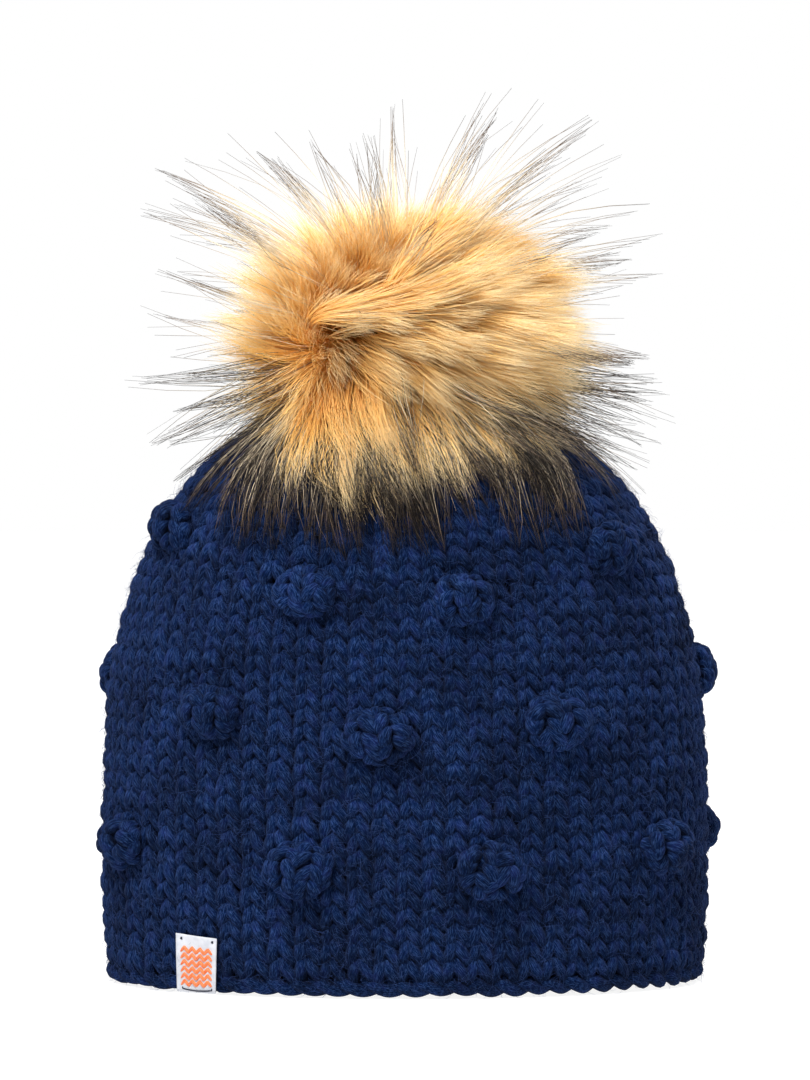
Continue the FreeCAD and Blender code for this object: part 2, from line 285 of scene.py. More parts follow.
def strands(name, centre, radius, sides, reference, material, shade=None, flatten=1.0, grid=True):
    """Separate open strands, closed at both ends, as one mesh. centre is (strands, steps, 3)."""
    many, steps = centre.shape[:2]
    ring = ring_points(centre, radius, sides, reference, flatten=flatten)
    base = (np.arange(many) * steps * sides)[:, None, None]
    corners = grid_corners(steps - 1, sides)
    quads = np.stack([base + i * sides + j % sides for i, j in corners], axis=-1).reshape(-1, 4)
    cap = np.arange(sides)[None, :]
    first = base[:, 0] + cap[:, ::-1]
    last = base[:, 0] + (steps - 1) * sides + cap

    if shade is None:
        shade = (np.arange(many) + 0.5) / many
    if grid:
        # Each strand has its own cell of the sheet, with a margin round it.
        margin, filled = 0.03, 0.94
        wide = max(1, int(math.sqrt(many * 2)))
        tall = -(-many // wide)
        cell_u = (np.arange(many) % wide)[:, None, None] + margin
        cell_v = (np.arange(many) // wide)[:, None, None] + margin
        run = filled / (steps - 1)
        uv = [((cell_u + run * i) / wide, (cell_v + filled * j / sides) / tall) for i, j in corners]
    else:
        # All strands share the sheet: across it the strand's shade, up it root to tip.
        _, side = corners[0]
        across = shade[:, None, None] + 0.001 * side / sides
        uv = [(across, 0.01 + 0.98 * i / (steps - 1)) for i, _ in corners]
    quad_uv = corner_values(uv)
    ends = []
    for step in (0, -1):
        at = quad_uv.reshape(many, steps - 1, sides, 4, 2)[:, step, :, 0 if step == 0 else 3]
        ends.append(at[:, ::-1] if step == 0 else at)
    maps = {"OFBake": [quad_uv] + ends}
    if grid:
        half_step = 0.5 * np.linalg.norm(np.diff(centre, axis=1), axis=-1).mean()
        side_width = 2 * math.pi * radius.mean() / sides
        own_part = 0.037 * base / sides
        yarn = corner_values([(half_step * i, j * side_width + own_part) for i, j in corners])
        maps["Yarn"] = [yarn] + [end * 0.01 for end in ends]
        # Section holds how far in the open each step lies: the wool material paints shade from it, darker
        # towards a strand's ends and along its sides.
        bare = 0.75 - 0.45 * np.abs(np.linspace(-1, 1, steps)) ** 2.5
        section = corner_values([(bare[i] + 0 * base, j / sides) for i, j in corners])
        maps["Section"] = [section] + [end * 0 + 0.5 for end in ends]
    return make_mesh(name, ring.reshape(-1, 3), [quads, first, last], maps, material)


def turned(name, outline, material, sides=120, ripple=None):
    """A closed outline of (radius, height) turned about Z. ripple moves points by angle and radius."""
    turn = full_turn(sides)[:, None]
    radius = np.array([r for r, _ in outline])[None, :] + 0 * turn
    height = np.array([z for _, z in outline])[None, :] + 0 * turn
    if ripple:
        radius, height = ripple(turn, radius, height)
    points = round_points(radius, turn, height).reshape(-1, 3)
    steps = len(outline)
    corners = other_way_round(grid_corners(sides, steps))
    faces = np.stack([(i % sides) * steps + j % steps for i, j in corners], -1).reshape(-1, 4)
    uv = corner_values([(i / sides, j / steps) for i, j in corners])
    return make_mesh(name, points, [faces], {"OFBake": [uv]}, material)


# ---------------------------------------------------------------- materials


class Nodes:
    """A small helper that adds nodes to a material and links them."""

    def __init__(self, name):
        self.material = bpy.data.materials.new(name)
        self.material.use_nodes = True
        self.tree = self.material.node_tree
        self.shader = self.tree.nodes["Principled BSDF"]

    def add(self, kind, **settings):
        node = self.tree.nodes.new(f"ShaderNode{kind}")
        for key, value in settings.items():
            setattr(node, key, value)
        return node

    def link(self, out, into):
        self.tree.links.new(out, into)

    def fill(self, socket, value):
        """Link a socket to another node's output, or give it a value or a colour."""
        if isinstance(value, bpy.types.NodeSocket):
            self.link(value, socket)
        else:
            socket.default_value = (*value, 1) if isinstance(value, tuple) else value

    def layer(self, name):
        return self.add("UVMap", uv_map=name).outputs["UV"]

    def split(self, vector):
        """The X, Y and Z of a vector."""
        node = self.add("SeparateXYZ")
        self.link(vector, node.inputs[0])
        return node.outputs

    def calculate(self, operation, *values):
        node = self.add("Math", operation=operation)
        for value, socket in zip(values, node.inputs):
            self.fill(socket, value)
        return node.outputs[0]

    def coordinates(self, layer=None, scale=(1, 1, 1)):
        """Texture coordinates in metres times a scale, from a UV layer or from the object itself."""
        source = self.layer(layer) if layer else self.add("TexCoord").outputs["Object"]
        mapping = self.add("Mapping")
        mapping.inputs["Scale"].default_value = scale
        self.link(source, mapping.inputs["Vector"])
        return mapping.outputs["Vector"]

    def noise(self, vector, scale, detail=2.0, roughness=0.5):
        node = self.add("TexNoise")
        node.inputs["Scale"].default_value = scale
        node.inputs["Detail"].default_value = detail
        node.inputs["Roughness"].default_value = roughness
        self.link(vector, node.inputs["Vector"])
        return node.outputs["Fac"]

    def ramp(self, factor, stops):
        node = self.add("ValToRGB")
        elements = node.color_ramp.elements
        while len(elements) < len(stops):
            elements.new(0.5)
        for element, (position, color) in zip(elements, stops):
            element.position = position
            element.color = (*color, 1)
        self.link(factor, node.inputs["Fac"])
        return node.outputs["Color"]

    def mix(self, factor, first, second):
        node = self.add("Mix", data_type="RGBA")
        for value, number in ((factor, 0), (first, 6), (second, 7)):
            self.fill(node.inputs[number], value)
        return node.outputs[2]

    def multiply(self, first, second):
        node = self.add("Mix", data_type="RGBA", blend_type="MULTIPLY")
        node.inputs[0].default_value = 1.0
        self.link(first, node.inputs[6])
        self.link(second, node.inputs[7])
        return node.outputs[2]

    def bump(self, height, distance, strength=1.0, normal=None):
        node = self.add("Bump")
        node.inputs["Strength"].default_value = strength
        node.inputs["Distance"].default_value = distance
        self.link(height, node.inputs["Height"])
        if normal:
            self.link(normal, node.inputs["Normal"])
        return node.outputs["Normal"]

    def finish(self, color, normal=None, **sockets):
        self.fill(self.shader.inputs["Base Color"], color)
        if normal is not None:
            self.link(normal, self.shader.inputs["Normal"])
        for key, value in sockets.items():
            self.shader.inputs[key.replace("_", " ")].default_value = value
        return self.material


def linear(red, green, blue):
    """A colour for the shader from the sRGB values that a colour chart gives."""
    chart = (red / 255, green / 255, blue / 255)
    return tuple(((c + 0.055) / 1.055) ** 2.4 if c > 0.04 else c / 12.92 for c in chart)


# Colours of each kind of hair, from root to tip.
WARM_PILE = [(0.0, linear(168, 92, 30)), (0.35, linear(238, 160, 66)), (0.7, linear(247, 194, 104)),
             (1.0, linear(248, 217, 158))]
PALE_PILE = [(0.0, linear(180, 118, 58)), (0.35, linear(241, 186, 103)), (0.7, linear(248, 213, 149)),
             (1.0, linear(251, 234, 198))]
DARK_GUARD = [(0.0, linear(120, 74, 34)), (0.36, linear(150, 108, 62)), (0.52, linear(34, 28, 26)),
              (1.0, linear(7, 7, 9))]
BROWN_GUARD = [(0.0, linear(212, 156, 92)), (0.6, linear(252, 234, 200)), (0.84, linear(132, 110, 90)),
               (1.0, linear(20, 18, 18))]
WOOL_DARK = linear(0, 8, 30)
WOOL_MIDDLE = linear(4, 26, 64)
WOOL_LIGHT = linear(52, 77, 124)
WOOL_PURPLE = linear(28, 40, 94)
WOOL_TIP = linear(60, 80, 132)
LABEL_WHITE = linear(206, 208, 214)
LABEL_SHADE = linear(184, 187, 196)
MOTIF_ORANGE = linear(220, 96, 44)
MOTIF_LIGHT = linear(238, 136, 84)
STITCH_BLACK = linear(14, 16, 26)


def grey(value):
    return value, value, value


def wool_material():
    """Single-ply wool: combed fibres along the yarn, mottled dye, a dry sheen, and painted shade where the
    yarn passes behind other yarn and along its sides.
    """
    m = Nodes("navy_wool")
    fibre = m.noise(m.coordinates("Yarn", (1, 2.6, 1)), 1100, 4, 0.7)
    cloud = m.noise(m.coordinates(), 190, 3, 0.6)
    shade = m.ramp(fibre, [(0.4, WOOL_DARK), (0.5, WOOL_MIDDLE), (0.61, WOOL_LIGHT)])
    tone = m.ramp(cloud, [(0.36, WOOL_DARK), (0.52, WOOL_MIDDLE), (0.66, WOOL_PURPLE)])
    patches = m.ramp(m.noise(m.coordinates(), 55, 3, 0.55), [(0.35, grey(0.55)), (0.65, grey(1.2))])
    color = m.multiply(m.mix(0.35, shade, tone), patches)
    # Painted shade: the Section layer darkens the yarn where it passes behind other yarn and along its
    # sides where neighbours press, in place of the shade that falls there.
    section = m.split(m.layer("Section"))
    tucked = [(0.0, grey(0.18)), (0.3, grey(0.55)), (0.6, grey(1.0)), (0.85, grey(0.95)), (1.0, grey(0.5))]
    sides = [(0.0, grey(0.06)), (0.24, grey(0.2)), (0.41, grey(1.0)), (0.59, grey(1.0)), (0.76, grey(0.2)),
             (1.0, grey(0.06))]
    for place_along, stops in ((0, tucked), (1, sides)):
        color = m.multiply(color, m.ramp(section[place_along], stops))
    coarse = m.noise(m.coordinates("Yarn", (1, 1.8, 1)), 380, 3, 0.6)
    normal = m.bump(coarse, 1.1 * MM, 0.7)
    normal = m.bump(fibre, 0.5 * MM, 1.0, normal)
    return m.finish(color, normal, Roughness=0.95, Specular_IOR_Level=0.04, Sheen_Weight=0.06,
                    Sheen_Roughness=0.5, Sheen_Tint=(0.25, 0.35, 0.85, 1))


def fuzz_material():
    """Loose wool fibres, lighter at the tips."""
    m = Nodes("navy_fuzz")
    _, along, _ = m.split(m.layer("OFBake"))
    color = m.ramp(along, [(0.0, WOOL_MIDDLE), (1.0, WOOL_TIP)])
    return m.finish(color, Roughness=0.9, Specular_IOR_Level=0.1)


def woven_material():
    """A damask label: fine warp and weft, with a faint shine."""
    m = Nodes("woven_label")
    across, along, _ = m.split(m.coordinates("Cloth"))
    waves = [m.calculate("MULTIPLY", place, per_metre * 2 * math.pi)
             for place, per_metre in ((across, 2600), (along, 2100))]
    weave = m.calculate("MULTIPLY", *(m.calculate("SINE", wave) for wave in waves))
    soil = m.noise(m.coordinates(), 260, 3, 0.6)
    color = m.ramp(soil, [(0.3, LABEL_SHADE), (0.6, LABEL_WHITE)])
    return m.finish(color, m.bump(weave, 0.06 * MM, 0.6), Roughness=0.7, Specular_IOR_Level=0.25,
                    Sheen_Weight=0.1)


def thread_material(name, dark, light, shine):
    """Spun thread: plies that show as slanted streaks."""
    m = Nodes(name)
    ply = m.noise(m.coordinates("Yarn", (0.35, 1, 1)), 4200, 2, 0.6)
    color = m.ramp(ply, [(0.38, dark), (0.6, light)])
    return m.finish(color, m.bump(ply, 0.12 * MM, 0.8), Roughness=0.6, Specular_IOR_Level=shine)


def felt_material(name, dark, light, per_metre=900):
    """Matted fibres: felt, fur backing or loose filling."""
    m = Nodes(name)
    matted = m.noise(m.coordinates(), per_metre, 5, 0.75)
    tufted = m.noise(m.coordinates(scale=(1, 1, 2)), per_metre / 5, 3, 0.6)
    fine = m.ramp(matted, [(0.36, dark), (0.64, light)])
    color = m.mix(0.4, fine, m.ramp(tufted, [(0.3, dark), (0.7, light)]))
    return m.finish(color, m.bump(matted, 0.4 * MM, 0.8), Roughness=0.95, Specular_IOR_Level=0.1,
                    Sheen_Weight=0.2)


def steel_material():
    """Nickelled steel with turning marks and small scuffs."""
    m = Nodes("snap_steel")
    scuffs = m.noise(m.coordinates(scale=(1, 1, 9)), 700, 4, 0.65)
    stains = m.noise(m.coordinates(), 240, 3, 0.5)
    color = m.ramp(stains, [(0.3, linear(164, 163, 158)), (0.7, linear(206, 205, 200))])
    rough = m.ramp(scuffs, [(0.35, grey(0.2)), (0.7, grey(0.42))])
    m.link(rough, m.shader.inputs["Roughness"])
    return m.finish(color, m.bump(scuffs, 0.03 * MM, 0.5), Metallic=1.0)


def fur_material(name, warm, pale, roughness=0.6):
    """Hair coloured from root to tip, each hair somewhere between a warm tone and a pale one."""
    m = Nodes(name)
    tone, along, _ = m.split(m.layer("OFBake"))
    color = m.mix(tone, m.ramp(along, warm), m.ramp(along, pale))
    return m.finish(color, Roughness=roughness, Specular_IOR_Level=0.18)


# ---------------------------------------------------------------- knitting


def stitches_at(climb):
    """How many stitches a round has: the crown's rounds drop a set number at a time."""
    fits = perimeter(climb) / SMALLEST_STITCH
    return int(min(STITCHES, max(DECREASE_STEP, fits // DECREASE_STEP * DECREASE_STEP)))


def jitter(count, strength):
    """A random value for each stitch, which runs smoothly from one to the next along the round."""
    value = rng.normal(0, strength, count)
    at = np.arange(count * LOOP_STEPS) / LOOP_STEPS
    low, part = at.astype(int), smooth(at % 1)
    return value[low % count] * (1 - part) + value[(low + 1) % count] * part


def knit_round(climb, count, wander):
    """One round of knitting: the yarn's centre line, its thickness and the outward directions."""
    steps = count * LOOP_STEPS
    phase = 2 * math.pi * np.arange(steps) / LOOP_STEPS
    lift = -np.cos(phase)
    stitch = np.arange(steps) / LOOP_STEPS + LOOP_SWING * np.sin(2 * phase)
    stitch += -LOOP_LEAN * lift + jitter(count, 0.05) + wander(np.arange(steps) / steps)
    rise = LOOP_RISE * lift * (1 + jitter(count, 0.05)) + jitter(count, 0.35 * MM)
    front = -LOOP_DEPTH * np.cos(2 * phase)
    proud = -WALL / 2 + 0.3 * MM + front + jitter(count, 0.35 * MM)
    point, out = place(stitch / count, climb + rise, proud)
    leg = (1 - np.cos(2 * phase)) / 2
    thick = YARN_RADIUS * (0.8 + 0.2 * leg + 0.08 * leg * lift) * (1 + jitter(count, 0.09))
    # The last value, how far each step lies in the open, is what the wool material paints shade from:
    # darkest at the loop's foot and darker at its head, where it passes behind other yarn.
    return point, thick, out, (1 + lift) / 2


def knit(material):
    """The hat's body and crown, round by round, in pieces that stand for their solids."""
    last = MERIDIAN_LENGTH[-1] - 1.6 * ROW_PITCH
    climbs = np.arange(FIRST_ROW, last, ROW_PITCH)
    crown_start = climb_at(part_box("crown")[0][2])
    phases = rng.uniform(0, 2 * math.pi, 4)

    def wander(share):
        """A slow sideways drift of the stitch columns, in stitches."""
        turn = 2 * math.pi * share
        return 0.12 * np.sin(3 * turn + phases[0]) + 0.1 * np.sin(7 * turn + phases[1])

    groups = {"knit_body": [], "crown": []}
    for climb in climbs:
        node = "crown" if climb > crown_start else "knit_body"
        groups[node].append(knit_round(climb, stitches_at(climb), wander))
    for node, rounds in groups.items():
        for part, first in enumerate(range(0, len(rounds), ROUNDS_PER_PIECE)):
            yarns = rounds[first:first + ROUNDS_PER_PIECE]
            piece = closed_yarns(f"knitting_{node}_{part + 1}", *zip(*yarns), material, 1.1 * MM)
            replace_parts(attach(piece, "hat"), node)


def cast_on_edge(material):
    """The bottom edge: two strands twisted round each other, and a third behind that closes the gaps."""
    turns = STITCHES // 2
    steps = turns * 26
    share = np.arange(steps) / steps
    yarns = []
    for strand in range(2):
        twist = -2 * math.pi * turns * share + math.pi * strand + 0.2 * np.sin(2 * math.pi * 5 * share)
        bulk = 1 + 0.08 * np.sin(2 * math.pi * 17 * share + 2 * strand)
        height = 3.6 * MM + 1.25 * MM * np.sin(twist) + 0.12 * MM * np.sin(2 * math.pi * 9 * share + strand)
        point, out = place(share, height, -WALL / 2 + 2.1 * MM * np.cos(twist))
        thick = YARN_RADIUS * bulk
        under_label = np.abs(point[:, 0] - LABEL_X) < LABEL_WIDTH / 2 + 1 * MM
        floor = np.where(under_label & (point[:, 1] < 0), 0.95 * MM, 0.05 * MM)
        point[:, 2] = np.maximum(point[:, 2], thick + floor)
        # Openness for the painted shade: lower, so darker, where the strand twists to the back.
        yarns.append((point, thick, out, 0.6 + 0.3 * np.cos(twist)))
    # The strand behind has low openness, so the wool material paints it in shade.
    behind, out = place(share, climb_at(np.full(steps, 8.2 * MM)), np.full(steps, -WALL / 2 - 1 * MM))
    yarns.append((behind, np.full(steps, YARN_RADIUS * 0.9), out, np.full(steps, 0.3)))
    piece = closed_yarns("cast_on_edge_yarn", *zip(*yarns), material, 0.7 * MM)
    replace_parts(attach(piece, "hat"), "cast_on_edge")


def cinch(material):
    """The yarn end that runs round the last stitches and draws the crown shut."""
    low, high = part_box("cinch_yarn")
    radius = high[0] - YARN_RADIUS
    steps = 240
    turn = full_turn(steps)
    upwards = np.broadcast_to([0.0, 0.0, 1.0], (steps, 3))
    yarns = []
    for coil in range(3):
        wave = 0.5 * MM * np.sin(7 * turn + coil)
        reach = radius - coil * 3.6 * MM + wave
        height = (low[2] + high[2]) / 2 - 0.4 * MM + 0.5 * MM * np.sin(7 * turn + 2 + coil)
        thick = YARN_RADIUS * 0.92 * (1 + 0.06 * np.sin(11 * turn + coil))
        yarns.append((round_points(reach, turn, height), thick, upwards, np.full(steps, 0.6)))
    piece = closed_yarns("cinch_yarn_coil", *zip(*yarns), material, 0.3 * MM)
    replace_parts(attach(piece, "hat"), "cinch_yarn")


# ---------------------------------------------------------------- bobbles

# Each round of bobbles: height at the front, extra height at the sides, and angles from the front.
BOBBLE_ROUNDS = {
    "bobbles_lower": (42.5 * MM, 9 * MM, (-67, -20, 16, 58, 105, 152, 199, 246)),
    "bobbles_middle": (89 * MM, 17 * MM, (-40, -5, 30, 101, 140, 180, 216, 254)),
    "bobbles_upper": (134 * MM, 27 * MM, (-67, -21, 12, 52, 128, 159, 192, 233)),
}
BOBBLE_HALF_WIDTH = 12.4 * MM
BOBBLE_HALF_HEIGHT = 9.8 * MM
BOBBLE_BULGE = 8.0 * MM

# The legs of a bobble's stitches, in units of its half-size: where its columns and rows lie, how far a leg
# is from the middle of its column, and how far from the middle of the bobble a leg can be.
BOBBLE_COLUMNS = (-0.64, 0.0, 0.64)
BOBBLE_ROWS = (-0.88, -0.44, 0.0, 0.44, 0.88)
BOBBLE_LEG_OFFSET = 0.16
BOBBLE_REACH = 1.12
BOBBLE_YARN = 2.6 * MM


def ball_frame(height, angle):
    """A bobble's centre and its directions along, up and outwards."""
    wide, deep = half_axes(height)
    centre = np.array([wide * math.sin(angle), -deep * math.cos(angle), height])
    outward = unit(np.array([math.sin(angle) / wide, -math.cos(angle) / deep, 0]))
    along = np.cross([0, 0, 1], outward)
    return centre, along, np.array([0.0, 0.0, 1.0]), outward


def bobble_legs():
    """Place across and up, and side of its column, of each leg in a bobble."""
    places = [(column + side * BOBBLE_LEG_OFFSET, row, side)
              for row in BOBBLE_ROWS for column in BOBBLE_COLUMNS for side in (-1, 1)]
    return [leg for leg in places if math.hypot(leg[0], leg[1]) < BOBBLE_REACH]


def bobble_strands(height, angle):
    """Centre line, radii and outward directions of each strand of a bobble, the last of them its middle."""
    centre, along, up, outward = ball_frame(height, angle)
    basis = np.stack([along, up, outward])
    size = rng.uniform(0.94, 1.08)
    twist = math.radians(rng.normal(0, 10))
    half_size = size * np.array([BOBBLE_HALF_WIDTH, BOBBLE_HALF_HEIGHT, BOBBLE_BULGE])
    t = np.linspace(-1, 1, 13)
    legs = []
    for across, rise, side in bobble_legs():
        across, rise = across + rng.normal(0, 0.055), rise + rng.normal(0, 0.055)
        lean = math.radians(90 - side * rng.normal(24, 13))
        half = rng.uniform(0.27, 0.38)
        a = across + half * t * math.cos(lean) - 0.05 * side * (1 - t**2)
        b = rise + half * t * math.sin(lean)
        reach = np.minimum(np.hypot(a, b), 1.25) * math.pi / 2 / BOBBLE_REACH
        turn = np.arctan2(b, a) + twist
        ball = np.stack([np.sin(reach) * np.cos(turn), np.sin(reach) * np.sin(turn), np.cos(reach)], -1)
        normal = unit(ball / half_size)
        sunk = rng.uniform(1.7, 2.5) * MM + 1.9 * MM * np.abs(t)[:, None] ** 3
        line = centre + (ball * half_size - normal * sunk) @ basis
        thick = BOBBLE_YARN * rng.uniform(0.88, 1.16) * (1 - 0.6 * np.abs(t) ** 2.6)
        legs.append((line, thick, normal @ basis))
    rise = (t + 1) / 2
    core = centre + outward * (half_size[2] * 0.76 * rise[:, None] - 1 * MM)
    bulk = half_size[0] * 0.8 * np.sqrt(np.maximum(1 - rise**2, 0.002))
    return legs + [(core, bulk, np.broadcast_to(up, core.shape))]


def bobbles(material):
    """Rounds of lumpy knots, each a ball of fat stitches."""
    for node, (front, side_rise, degrees) in BOBBLE_ROUNDS.items():
        parts = []
        for angle in np.radians(degrees):
            parts += bobble_strands(front + side_rise * math.sin(angle) ** 2, angle)
        lines, widths, outs = (np.array(group) for group in zip(*parts))
        knots = strands(f"{node}_strands", lines, widths, 12, outs, material, flatten=0.85)
        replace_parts(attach(knots, "hat"), node)


# ---------------------------------------------------------------- label

LABEL_CLOTH = 0.35 * MM
LABEL_PROUD = 1.35 * MM
LABEL_BEHIND = WALL + 1.2 * MM
LABEL_FOOT = 0.45 * MM
LABEL_BEND = 1.6 * MM
LABEL_SLOPE = 1.2 * MM
LABEL_SPREAD = 0.06
LABEL_COLUMNS = 24


def beside(x, z, proud):
    """Points of the hat's front at a distance along X and a height, proud of its surface."""
    wide, deep = half_axes(np.maximum(z, 0))
    depth = (deep + proud) * np.sqrt(1 - (x / (wide + proud)) ** 2)
    return np.stack(np.broadcast_arrays(x, -depth, z), -1)


def label_run():
    """The strip's path from its front end, under the edge and up to its back end, as (proud, height)."""
    up = np.linspace(1, 0, 26)[:, None]
    bend = np.linspace(0, math.pi / 2, 9)[1:-1, None]
    foot = np.array([[LABEL_PROUD, LABEL_FOOT + LABEL_BEND]])
    front = foot + up * [[0, LABEL_HEIGHT - foot[0, 1]]]
    corner = np.array([[LABEL_PROUD - LABEL_BEND, LABEL_FOOT + LABEL_BEND]])
    first_bend = corner + LABEL_BEND * np.hstack([np.cos(bend), -np.sin(bend)])
    across = np.linspace(0, 1, 10)[:, None]
    back_corner = np.array([[-LABEL_BEHIND + LABEL_BEND, LABEL_FOOT + LABEL_BEND]])
    under = corner + (back_corner - corner) * across - [[0, LABEL_BEND]]
    second_bend = back_corner - LABEL_BEND * np.hstack([np.sin(bend), np.cos(bend)])
    back = back_corner - [[LABEL_BEND, 0]] + (1 - up) * [[0, LABEL_HEIGHT - LABEL_FOOT - LABEL_BEND]]
    return np.vstack([front, first_bend, under, second_bend, back])


def on_label(across, proud, height):
    """Points of the label. across is -1 at its left side and 1 at its right."""
    share = np.clip(height / LABEL_HEIGHT, 0, 1)
    x = LABEL_X + across * LABEL_WIDTH / 2 * (1 - LABEL_SPREAD * (1 - share))
    z = height - LABEL_SLOPE * (across + 0.2) / 2 * share
    pull = np.exp(-((np.abs(across) - 0.8) / 0.2) ** 2) * np.exp(-((share - 0.94) / 0.07) ** 2)
    swell = 0.25 * np.sin(2.1 * across + 5 * share) + 0.12 * np.sin(5 * across - 9 * share)
    return beside(x, z, proud + (swell * np.sin(math.pi * share) - 0.5 * pull) * MM)


def label(material):
    """The woven strip, folded round the bottom edge and up its inside, as a thin closed sheet."""
    run = label_run()
    across = np.linspace(-1, 1, LABEL_COLUMNS)[:, None]
    middle = on_label(across, run[:, 0], run[:, 1])
    along = unit(np.gradient(middle, axis=1))
    sideways = unit(np.gradient(middle, axis=0))
    normal = unit(np.cross(sideways, along))
    sides = [middle + normal * LABEL_CLOTH / 2, middle - normal * LABEL_CLOTH / 2]

    # The two faces meet at the selvedges and at the cut ends.
    columns, steps = middle.shape[:2]
    corners = other_way_round(grid_corners(columns - 1, steps - 1))
    face = np.stack([i * steps + j for i, j in corners], -1).reshape(-1, 4)
    other = face[:, ::-1] + columns * steps
    rim = np.concatenate([np.arange(columns) * steps, (columns - 1) * steps + np.arange(1, steps),
                          np.arange(columns - 2, -1, -1) * steps + steps - 1, np.arange(steps - 2, 0, -1)])
    step_on = np.roll(rim, -1)
    edge = np.stack([rim, rim + columns * steps, step_on + columns * steps, step_on], -1)
    length = np.concatenate([[0], np.cumsum(np.linalg.norm(np.diff(middle[0], axis=0), axis=-1))])
    width = np.linalg.norm(middle[-1, 0] - middle[0, 0])
    cloth = np.stack(np.broadcast_arrays(width * np.arange(columns)[:, None] / (columns - 1), length), -1)
    cloth = np.tile(cloth.reshape(-1, 2), (2, 1))
    faces = [face, other, edge]
    sheet = cloth / [2.2 * width, length[-1]] + np.repeat([[0, 0], [0.5, 0]], columns * steps, axis=0)
    maps = {"OFBake": [sheet[f] for f in faces], "Cloth": [cloth[f] for f in faces]}
    points = np.concatenate([side.reshape(-1, 3) for side in sides])
    piece = make_mesh("edge_label", points, faces, maps, material)
    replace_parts(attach(piece, "hat"), "label_strip")
    return piece, (width, length[-1])


def label_threads(name, paths, radius, flatten, material):
    """Threads that lie on the label's face. Each path has points (across, height) of its corners."""
    lines, outs = [], []
    for path in paths:
        corners = np.array(path)
        spread = np.linspace(0, len(corners) - 1, 60)
        across, height = (np.interp(spread, np.arange(len(corners)), corners[:, axis]) for axis in (0, 1))
        near = 0.5 * (1 - np.cos(2 * math.pi * spread))
        proud = LABEL_PROUD + LABEL_CLOTH / 2 + radius * flatten * (0.3 + 0.2 * near)
        line = on_label(across, proud, height)
        lines.append(line)
        outward = on_label(across, LABEL_PROUD + 5 * MM, height) - on_label(across, LABEL_PROUD, height)
        outs.append(unit(outward)[30])
    lines, outs = np.array(lines), np.array(outs)
    ends = np.abs(np.linspace(-1, 1, lines.shape[1])) ** 12
    widths = radius * (1 - 0.6 * ends) * np.ones((len(lines), 1))
    piece = strands(name, lines, widths, 10, outs[:, None] + 0 * lines, material, flatten=flatten)
    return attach(piece, "hat")


def label_motif(material):
    """Rows of satin-stitch zigzags, a plain pattern in the middle of the label."""
    rows, teeth = 6, 4
    across = np.linspace(-0.78, 0.78, 2 * teeth + 1)
    zigzag = np.where(np.arange(2 * teeth + 1) % 2, 0.85, -0.85) * MM
    heights = (3.7 + 2.25 * np.arange(rows)) * MM
    paths = [list(zip(across, height + zigzag)) for height in heights]
    piece = label_threads("label_zigzags", paths, 0.6 * MM, 0.4, material)
    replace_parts(piece, "label_strip")
    return piece


def label_stitches(material):
    """Dark thread: a tack in each top corner and long stitches along the bottom fold."""
    paths = []
    for corner in (-0.74, 0.78):
        paths += [[(corner - 0.05, 18.2 * MM), (corner + 0.05, 18.9 * MM)],
                  [(corner + 0.05, 18.1 * MM), (corner - 0.03, 18.9 * MM)]]
    bottom = [(-0.72, 2.3), (-0.7, 1.6), (-0.3, 1.2), (0.1, 1.05), (0.45, 1.15), (0.78, 1.5), (0.8, 2.2)]
    paths.append([(across, height * MM) for across, height in bottom])
    piece = label_threads("label_tacks", paths, 0.24 * MM, 0.9, material)
    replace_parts(piece, "label_stitches")
    return piece


# ---------------------------------------------------------------- fuzz

FIBRES_PER_PIECE = 11500
FIBRE_THICKNESS = 0.055 * MM


def fuzz(material):
    """Loose fibres that stand off the yarn, all over the hat."""
    count = 46000
    t = np.linspace(0, 1, 4)
    top = MERIDIAN_LENGTH[-1] - 12 * MM
    for part, first in enumerate(range(0, count, FIBRES_PER_PIECE)):
        many = min(FIBRES_PER_PIECE, count - first)
        climb = rng.uniform(1.5 * MM, top, many)
        share = rng.uniform(0, 1, many)
        keep = rng.uniform(0, 1, many) < perimeter(climb) / perimeter(WIDEST)
        climb, share = climb[keep], share[keep]
        point, out, around, up = surface_frame(share, climb)
        turn = rng.uniform(0, 2 * math.pi, len(share))
        flat = around * np.cos(turn)[:, None] + up * np.sin(turn)[:, None]
        side = np.cross(out, flat)
        length = np.where(rng.uniform(0, 1, len(share)) < 0.6, rng.uniform(1.2, 2.6, len(share)),
                          rng.uniform(3, 7, len(share))) * MM
        lift = rng.uniform(0.1, 0.75, len(share))
        curl = rng.normal(0, 0.5, len(share))
        reach = length[:, None] * t
        proud = rng.uniform(-0.9, 0.1, len(share))[:, None, None] * MM
        line = point[:, None] + out[:, None] * proud
        line = line + flat[:, None] * (reach * (1 - 0.2 * t))[..., None]
        line = line + side[:, None] * (reach * t * curl[:, None])[..., None]
        line = line + out[:, None] * (reach * np.sin(t * 2.2) * lift[:, None] * 0.8)[..., None]
        line[..., 2] = np.maximum(line[..., 2], 0.1 * MM)
        width = FIBRE_THICKNESS * (1 - 0.6 * t) * np.ones((len(share), 1))
        outs = np.broadcast_to(out[:, None], line.shape)
        shade = rng.uniform(0.02, 0.98, len(share))
        piece = strands(f"wool_fuzz_{part + 1}", line, width, 3, outs, material, shade, grid=False)
        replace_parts(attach(piece, "hat"), "knit_body", "crown")


# ---------------------------------------------------------------- pom

